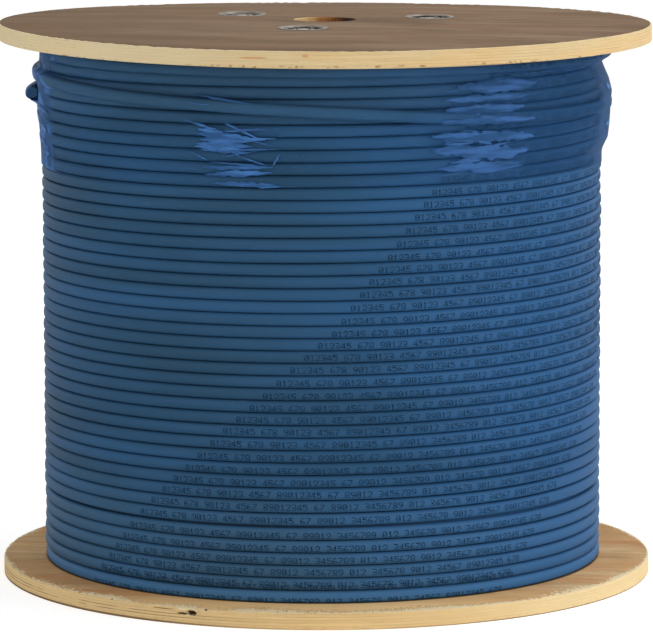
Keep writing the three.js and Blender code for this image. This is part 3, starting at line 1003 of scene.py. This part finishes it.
stations = round((last_turn + HIDDEN_START) * STATIONS_PER_TURN) + 1
turns = np.linspace(-HIDDEN_START, last_turn, stations)
blue_cable = shaded(cable_mesh("blue_cable", cable_route(turns)), 60)
cable_jacket = jacket_finish("blue_cable_jacket", (47, 88, 127), (41, 75, 102))
add_piece(
    "blue_cable", blue_cable, cable_jacket, "cable_jacket",
    "cable_turns_lower", "cable_turns_upper",
)


# ----------------------------------------
# Inner layers. The turns under the outermost layer, which show only between its turns and as
# rings of cable at the flanges.

def ridged(start, end, across, ridges):
    """A run of (radius, height) points over that many rounded ridges, swelling by across."""
    start, end, across = np.array(start), np.array(end), np.array(across)
    points = []
    for k in range(ridges):
        for step in range(6):
            share = (k + (1 - math.cos(step / 6 * math.pi)) / 2) / ridges
            points.append(start + (end - start) * share + across * math.sin(step / 6 * math.pi))
    return points


packed_inner = CORE_RADIUS + SEAT_PLAY
packed_outer = layer_radius - LAYER_STEP * 0.5
packed_low = lower_face + SEAT_PLAY + CABLE_DIAMETER * 0.35
packed_high = REEL_HEIGHT - packed_low
layers = round((packed_outer - packed_inner) / LAYER_STEP)
swell = CABLE_DIAMETER * 0.35
low_inner, low_outer = (packed_inner, packed_low), (packed_outer, packed_low)
high_inner, high_outer = (packed_inner, packed_high), (packed_outer, packed_high)
packed = [
    *ridged(low_inner, low_outer, (0, -swell), layers),
    *ridged(low_outer, high_outer, (swell * 0.8, 0), rising_turns),
    *ridged(high_outer, high_inner, (0, swell), layers),
    np.array(high_inner),
]
inner_turns = turned_mesh("inner_turns", packed, 180)
inner_turns.transform(Matrix.Translation((-WOUND_TO_LEFT / 2, 0, 0)))
# Painted shade: the inner turns get darker colours than the same cable outside
inner_jacket = jacket_finish("blue_inner_jacket", (30, 62, 92), (24, 52, 80))
inner_turns = shaded(inner_turns, 60)
add_piece("inner_turns", inner_turns, inner_jacket, "cable_jacket", "cable_inner_layers")


# ----------------------------------------
# Marking. Plain figures put on the jacket by an ink-dot printer, in a run that starts again a
# little later on each turn.

FIGURES = (
    ".###.#...##..###.#.###..##...#.###.", "..#...##....#....#....#....#...###.",
    ".###.#...#....#...#...#...#...#####", "####.....#....#.###.....#....#####.",
    "...#...##..#.#.#..#.#####...#....#.", "######....####.....#....##...#.###.",
    "..##..#...#....####.#...##...#.###.", "#####....#...#...#...#....#....#...",
    ".###.#...##...#.###.#...##...#.###.", ".###.#...##...#.####....#...#..##..",
)
FIGURE_ROWS = 7
FIGURE_COLUMNS = 5
GROUPS = (6, 3, 5, 4, 8, 2, 5, 7, 3, 6, 4, 5, 8, 3)
FIGURE_SPACING = 3.1 * MM
FIGURE_HEIGHT = 3.3 * MM
FIGURE_WIDTH = 2.5 * MM
INK_THICKNESS = 0.03 * MM
# Azimuth where the run starts, at a few of the turns
RUN_TURN = (-1, 2, 5, 14, 21, 33, 44)
RUN_START = (215, 222, 228.5, 253, 272, 294, 309)
# One turn went past the printer twice
TWICE_PRINTED = 1
SECOND_PRINT_ALONG = 2 * MM
SECOND_PRINT_TWIST = -0.4
LOWEST_TWIST = -0.5
# How far the figures are turned round the jacket, and how much that swings from turn to turn
TWIST = -0.16
TWIST_SWING = 0.12
# Overlap of a dash with the next dot, height of a dot in its row, and how figures curve round
DASH_OVERLAP = 0.12
DOT_HEIGHT = 0.96
FIGURE_CURVE = 0.86
CLEAR_OF_ENDS = 0.02


def figure_dashes():
    """(column start, column end, row, place in the run) of every dash of ink in one run."""
    dashes, place, digit = [], 0, 0
    for group in GROUPS:
        for _ in range(group):
            for row in range(FIGURE_ROWS):
                line = FIGURES[digit % 10][row * FIGURE_COLUMNS:(row + 1) * FIGURE_COLUMNS] + "."
                start = None
                for column, dot in enumerate(line):
                    if dot == "#" and start is None:
                        start = column
                    if dot == "." and start is not None:
                        dashes.append((start, column, row, place))
                        start = None
            digit += 1
            place += 1
        place += 1
    return np.array(dashes, float)


def ink_mesh(name):
    whole_turns = np.arange(-1, last_turn)
    start_angles = np.radians(np.interp(whole_turns, RUN_TURN, RUN_START))
    starts = whole_turns + (start_angles - FREE_END_ANGLE) / (2 * math.pi)
    dashes = figure_dashes()
    per_turn = 2 * math.pi * layer_radius
    step = 0.5 / STATIONS_PER_TURN
    column = FIGURE_WIDTH / FIGURE_COLUMNS
    left = dashes[:, 3] * FIGURE_SPACING + dashes[:, 0] * column
    right = dashes[:, 3] * FIGURE_SPACING + (dashes[:, 1] + DASH_OVERLAP) * column
    top = (0.5 - dashes[:, 2] / FIGURE_ROWS) * FIGURE_HEIGHT
    bottom = top - FIGURE_HEIGHT / FIGURE_ROWS * DOT_HEIGHT
    twists = TWIST + TWIST_SWING * np.sin(whole_turns * 1.1)
    first_turn = np.flatnonzero(whole_turns == 0)[0]
    twists[first_turn] = LOWEST_TWIST
    runs = list(zip(starts, twists))
    again, twist = runs[first_turn + TWICE_PRINTED]
    runs.append((again + SECOND_PRINT_ALONG / per_turn, twist + SECOND_PRINT_TWIST))
    quads = []
    for start, twist in runs:
        after_start = start + left / per_turn > CLEAR_OF_ENDS - HIDDEN_START
        inside = after_start & (start + right / per_turn < last_turn - CLEAR_OF_ENDS)
        corners = []
        for along, up in ((left, bottom), (right, bottom), (right, top), (left, top)):
            turn = start + along[inside] / per_turn
            points = cable_route(turn)
            ahead = cable_route(turn + step) - cable_route(turn - step)
            outward, upward = jacket_frame(points, ahead)
            bulge, spread = pressed(up[inside] / JACKET_RADIUS * FIGURE_CURVE + twist)
            skin = JACKET_RADIUS + INK_THICKNESS
            corners.append(points + (outward * bulge[:, None] + upward * spread[:, None]) * skin)
        quads.append(np.stack(corners, axis=1))
    corners = np.concatenate(quads).reshape(-1, 3)
    return mesh_of(name, corners, np.arange(len(corners)).reshape(-1, 4).tolist())


def ink_finish():
    finish = Finish("dark_ink")
    here = finish.place()
    worn = finish.noise(here, 420, 4, 0.7).above(0.52, 0.2)
    x, _, height = finish.parts(here)
    fainter = x.above(80 * MM, 90 * MM) * height.above(20 * MM, 4 * MM)
    return finish.done(finish.surface(
        Base_Color=finish.mix(worn.most(fainter * 0.7), srgb(14, 34, 54), srgb(34, 70, 104)),
        Roughness=0.6 + worn * 0.2,
        Specular_IOR_Level=0.05,
    ))


add_piece("ink_figures", ink_mesh("ink_figures"), ink_finish(), "cable_print")


# ----------------------------------------
# Stretch film. Clear film drawn tight round the top turns to hold the free end down. It hugs the
# turns that run back and stands off beside them like a tent, tightest at its lower edge.

FILM_HEIGHT = 68 * MM
FILM_STANDS_OFF = 0.35 * MM
FILM_GAUGE = 0.12 * MM
FILM_COLUMNS = 480
FILM_ROWS = 90
HUG_EDGE = 0.9
HUG_SLOPE = 1.6
FILM_WAVES = 0.05 * MM
FILM_SEED = 12
END_FADE = 9 * MM
# At so many mm below the upper flange, how far in mm the film stands off the turns under it
TENT_LEFT = (0, 8, 23, 35, 63, 68), (0, 0.5, 2.2, 2.0, 0, 0)
TENT_RIGHT = (0, 11.5, 20, 28, 40, 54.5, 60, 63, 68), (0, 0, 3.6, 5.6, 4.8, 3.35, 0.8, 0, 0)
TENT_FRONT = (0, 11.5, 23, 35, 63, 68), (0, 1.0, 2.5, 2.4, 0, 0)


def film_radius(around, height):
    """Radius of the film at each azimuth and height: its tent, or the cable that it hugs."""
    below = (upper_face - height) / MM
    left, right, front = (np.interp(below, *tent) for tent in (TENT_LEFT, TENT_RIGHT, TENT_FRONT))
    sideways = np.cos(around) ** 2
    side = np.where(np.cos(around) < 0, left, right)
    out = (side * sideways + front * (1 - sideways)) * MM
    before_end = ((FREE_END_ANGLE - around) / (2 * math.pi)) % 1
    for lap in range(-1, RETURN_TURNS):
        turn = last_turn - before_end - lap
        middle = cable_route(np.minimum(turn, last_turn))
        cable_out = np.hypot(middle[:, 0] + WOUND_TO_LEFT, middle[:, 1]) - layer_radius
        off = np.abs(height - middle[:, 2]) / JACKET_RADIUS
        drop = 1 - (1 - np.minimum(off, HUG_EDGE) ** PRESSED_SQUARE) ** (1 / PRESSED_SQUARE)
        hug = cable_out - JACKET_RADIUS * (drop + HUG_SLOPE * np.clip(off - HUG_EDGE, 0, None))
        past_end = np.clip(turn - last_turn, 0, None) * 2 * math.pi * layer_radius
        out = np.maximum(out, hug * (1 - smooth_step(past_end, 0, END_FADE)))
    random = np.random.default_rng(FILM_SEED)
    for waves in random.integers(8, 40, 9):
        slope, phase = random.uniform(-260, 260), random.uniform(0, 2 * math.pi)
        out = out + np.sin(waves * around + slope * height + phase) * FILM_WAVES
    return layer_radius + JACKET_RADIUS + FILM_STANDS_OFF + out


def on_film(around, height, lift=0.0):
    """Points of the film at each azimuth and height, lifted that far off it."""
    return on_winding(film_radius(around, height) + lift, around, height)


def grid_mesh(name, grids):
    """Sheets of points, each an array of rows by columns by 3, as quads."""
    points, quads, count = [], [], 0
    for grid in grids:
        first = np.arange(grid[:, :, 0].size).reshape(grid.shape[:2]) + count
        corners = first[:-1, :-1], first[1:, :-1], first[1:, 1:], first[:-1, 1:]
        quads.append(np.stack(corners, axis=2).reshape(-1, 4))
        points.append(grid.reshape(-1, 3))
        count += grid[:, :, 0].size
    return welded(mesh_of(name, np.concatenate(points), np.concatenate(quads).tolist()))


def film_mesh(name):
    around = np.linspace(0, 2 * math.pi, FILM_COLUMNS + 1)
    bottom = upper_face - SEAT_PLAY - FILM_HEIGHT + wander(7, around, 0 * around, 0.5 * MM)
    warp = bowed(WOUND_RADIUS * np.cos(around), WOUND_RADIUS * np.sin(around))
    top = upper_face - SEAT_PLAY + warp
    shares = np.linspace(0, 1, FILM_ROWS)
    rows = [on_film(around, bottom + (top - bottom) * share) for share in shares]
    return grid_mesh(name, [np.stack(rows, axis=1)])


def milky(finish, cover, **plastic):
    """Clear film, milky where it is covered."""
    clear = finish.node("ShaderNodeBsdfTransparent", None, {"Color": (0.98, 0.99, 1.0, 1)})
    shaders = {0: cover, 1: clear, 2: finish.surface(**plastic)}
    return finish.done(finish.node("ShaderNodeMixShader", None, shaders))


def film_finish():
    finish = Finish("clear_stretch_film")
    here = finish.place()
    streaks = finish.noise((26, 26, 260), 1, 4, 0.6)
    stray = streaks.above(0.68, 0.03) * finish.noise(here, 24, 2).above(0.56, 0.05)
    edge_on = finish.node("ShaderNodeLayerWeight", None, {"Blend": 0.3}, out="Facing")
    # Painted highlights: patches of lighter blue where the crumpled film catches the lamps
    painted_highlight_patches = finish.noise((1, 1, 2.5), 55, 3).above(0.52, 0.06)
    gathered = finish.parts(here)[0].above(70 * MM, 60 * MM)
    cover = (stray * 0.25).most(edge_on.above(0.56, 0.08) * 0.95) + gathered * 0.16
    return milky(
        finish,
        cover,
        Base_Color=finish.coated(
            srgb(40, 80, 124),
            (painted_highlight_patches * (1 - gathered * 0.7), srgb(68, 116, 182)),
            (gathered * 0.7, srgb(34, 68, 106)),
        ),
        Roughness=0.5,
        Specular_IOR_Level=0.03,
        Normal=finish.bump(streaks, 0.0005, 0.5),
    )


film_skin = shaded(film_mesh("stretch_film"), 80)
film = add_piece("stretch_film", film_skin, film_finish(), "clear_film", "stretch_film_band")
film.modifiers.new("gauge", "SOLIDIFY").thickness = FILM_GAUGE


# ----------------------------------------
# Folds in the film. Where it was pulled askew it doubles over itself in narrow pointed folds and
# torn shreds, milky where several layers lie together. Their light blue is painted highlight,
# the lamps' reflection in the crumpled film.

FOLD_GAUGE = 0.06 * MM
FOLD_STANDS_OFF = 0.22 * MM
FOLD_RIDGE = 0.25 * MM
FOLD_STATIONS = 15
FOLD_ACROSS = (-1, -0.5, 0, 0.5, 1)
FOLD_RAGGED = 0.45
FOLD_LEAST = 0.35 * MM
FOLD_SEED = 40
# Folds as (along, up) of one end, (along, up) of the other and width, in mm from their middle
FRONT_LEFT_FOLDS = (
    (-18.6, 32.1, 14.1, 28.1, 0.8), (-20.6, 27.9, -7.6, 26.8, 0.5),
    (-25.5, 17.9, -2.6, 12.3, 0.8), (-2.0, 17.3, 20.0, 7.8, 0.9), (-4.1, 11.7, 29.8, 14.5, 0.8),
    (-17.6, 10.6, 17.0, 7.4, 3.4), (-15.4, 7.4, 22.0, 8.2, 3.0), (-17.8, 5.0, 14.4, 4.0, 3.6),
    (-12.0, 8.8, 7.0, 4.6, 3.4), (-18.8, 3.4, 8.4, 2.2, 2.6), (-16.0, 1.6, 13.0, 0.6, 1.8),
    (-16.5, 12.8, 2.4, 9.5, 3.4), (12.9, 8.7, 27.6, 8.7, 0.7), (14.1, 7.5, 25.6, 4.5, 0.7),
    (-14.7, 1.3, 28.8, 2.8, 0.6), (-3.5, -2.2, 17.6, 1.7, 0.5), (-22.4, 0.6, -10.0, -5.0, 0.6),
    (-10.0, -5.0, 24.7, -7.3, 0.9), (2.4, 0.0, 23.5, -6.7, 0.6), (29.7, 0.2, 25.6, -6.7, 0.8),
    (-15.9, -8.4, 25.9, -7.3, 2.0), (-13.5, -12.3, 25.3, -10.3, 2.8),
    (-7.6, -16.8, 30.4, -17.9, 3.0),
)
FRONT_RIGHT_FOLDS = (
    (-26.8, 22.1, -16.1, 22.8, 0.6), (-10.7, 24.2, 38.9, 23.6, 3.6),
    (-5.0, 21.0, 20.0, 21.5, 1.6), (-2.7, 15.7, 27.2, 16.6, 0.9), (-22.1, 12.4, 17.2, 12.8, 1.6),
    (-8.3, 9.8, 19.5, 9.6, 2.0), (-26.8, 5.3, 29.5, 4.7, 2.6), (-16.1, 0.2, -4.4, -1.1, 0.7),
    (-4.4, -1.1, 4.7, -1.5, 0.7), (-32.2, -3.0, -10.7, -3.0, 2.4),
    (-26.8, -7.3, -10.7, -7.6, 1.2), (-11.4, -4.3, 4.0, -8.9, 2.4), (8.7, -5.6, 27.2, -3.7, 0.7),
    (27.2, -3.7, 33.4, -5.6, 0.7), (17.9, -8.2, -18.3, -11.5, 0.9),
    (-32.2, -11.5, -19.8, -11.5, 1.1), (-10.7, -14.0, 26.2, -14.0, 4.4),
    (-22.8, -18.0, -3.6, -17.2, 2.2), (-30.6, -25.3, -9.0, -23.0, 0.8),
    (-9.0, -23.0, 17.9, -19.8, 0.8), (-9.8, -24.3, 30.2, -21.7, 2.2),
)
LEFT_EDGE_FOLDS = (
    (-20, 5, 20, -3, 8), (-18, -8, 22, -16, 9), (-15, 12, 25, 8, 3), (-15, 33, 5, 32, 4),
)
RIGHT_EDGE_FOLDS = (-8, 13, 8, 11, 4), (-8, -9, 6, -11, 4)
# Broad faint layers of painted highlight over the folds at the front right
SOFT_LAYERS = (
    (-18, 24, 36, 23.4, 7), (-26, 17, 30, 17.6, 4), (-26, 11.4, 26, 11.4, 5),
    (-30, 5, 32, 4.6, 5), (-34, -3, 12, -5, 6), (-10, -3, 34, -6, 5), (-34, -11, 10, -12, 6),
    (-16, -14, 30, -13.4, 8), (-30, -21, 26, -20.4, 5),
)
# Azimuth and height of each patch's middle, its folds, and -1 where they are turned end for end
FOLD_PATCHES = (
    (251.6, 261.3 * MM, FRONT_LEFT_FOLDS, 1), (190, 266 * MM, LEFT_EDGE_FOLDS, 1),
    (350, 275 * MM, RIGHT_EDGE_FOLDS, 1), (40, 270 * MM, FRONT_LEFT_FOLDS, -1),
    (146, 266 * MM, FRONT_LEFT_FOLDS, 1),
)


def fold_grid(azimuth, height, fold, facing, random):
    """One fold as a grid of points, widest in the middle, with a raised ridge and torn edges."""
    along, up, along_end, up_end, width = (size * MM for size in fold)
    share = np.linspace(0, 1, FOLD_STATIONS)
    run = np.array([along_end - along, up_end - up])
    across = np.array([-run[1], run[0]]) / np.hypot(*run)
    half = (width + FOLD_LEAST) / 2 * np.sin(math.pi * share.clip(0.02, 0.98)) ** 0.6
    rough = 1 + FOLD_RAGGED * random.uniform(-1, 1, (2, FOLD_STATIONS))
    rows = []
    for side in FOLD_ACROSS:
        off = side * half * rough[0 if side < 0 else 1]
        reach = along + run[0] * share + across[0] * off
        rise = up + run[1] * share + across[1] * off
        lift = FOLD_STANDS_OFF + FOLD_RIDGE * (1 - side * side)
        around = math.radians(azimuth) + facing * reach / WOUND_RADIUS
        rows.append(on_film(around, height + rise, lift))
    return np.stack(rows[::facing], axis=1)


def fold_finish(name, painted_highlight_cover, thin, thick):
    finish = Finish(name)
    streaks = finish.noise((40, 40, 420), 1, 4, 0.6)
    return milky(
        finish,
        (streaks.above(0.5, 0.14) * 0.4 + 0.5) * painted_highlight_cover,
        Base_Color=finish.mix(streaks.above(0.5, 0.1), srgb(*thin), srgb(*thick)),
        Roughness=0.45,
        Specular_IOR_Level=0.05,
        Normal=finish.bump(streaks, 0.0004, 0.6),
    )


SOFT_PATCHES = (
    (303.5, 272.7 * MM, FRONT_RIGHT_FOLDS + SOFT_LAYERS, 1),
    (92, 273 * MM, FRONT_RIGHT_FOLDS + SOFT_LAYERS, -1),
)
random = np.random.default_rng(FOLD_SEED)
# Light blue fold colours: painted highlights, shown as far as each cover reaches
for name, patches, painted_highlight_cover, thin, thick in (
    ("film_folds", FOLD_PATCHES, 1, (62, 108, 166), (74, 124, 188)),
    ("film_layers", SOFT_PATCHES, 0.55, (60, 106, 160), (74, 122, 188)),
):
    grids = [
        fold_grid(azimuth, height, fold, facing, random)
        for azimuth, height, folds, facing in patches
        for fold in folds
    ]
    skins = shaded(grid_mesh(name, grids), 80)
    folded = add_piece(name, skins, fold_finish(name, painted_highlight_cover, thin, thick), "clear_film")
    folded.modifiers.new("gauge", "SOLIDIFY").thickness = FOLD_GAUGE
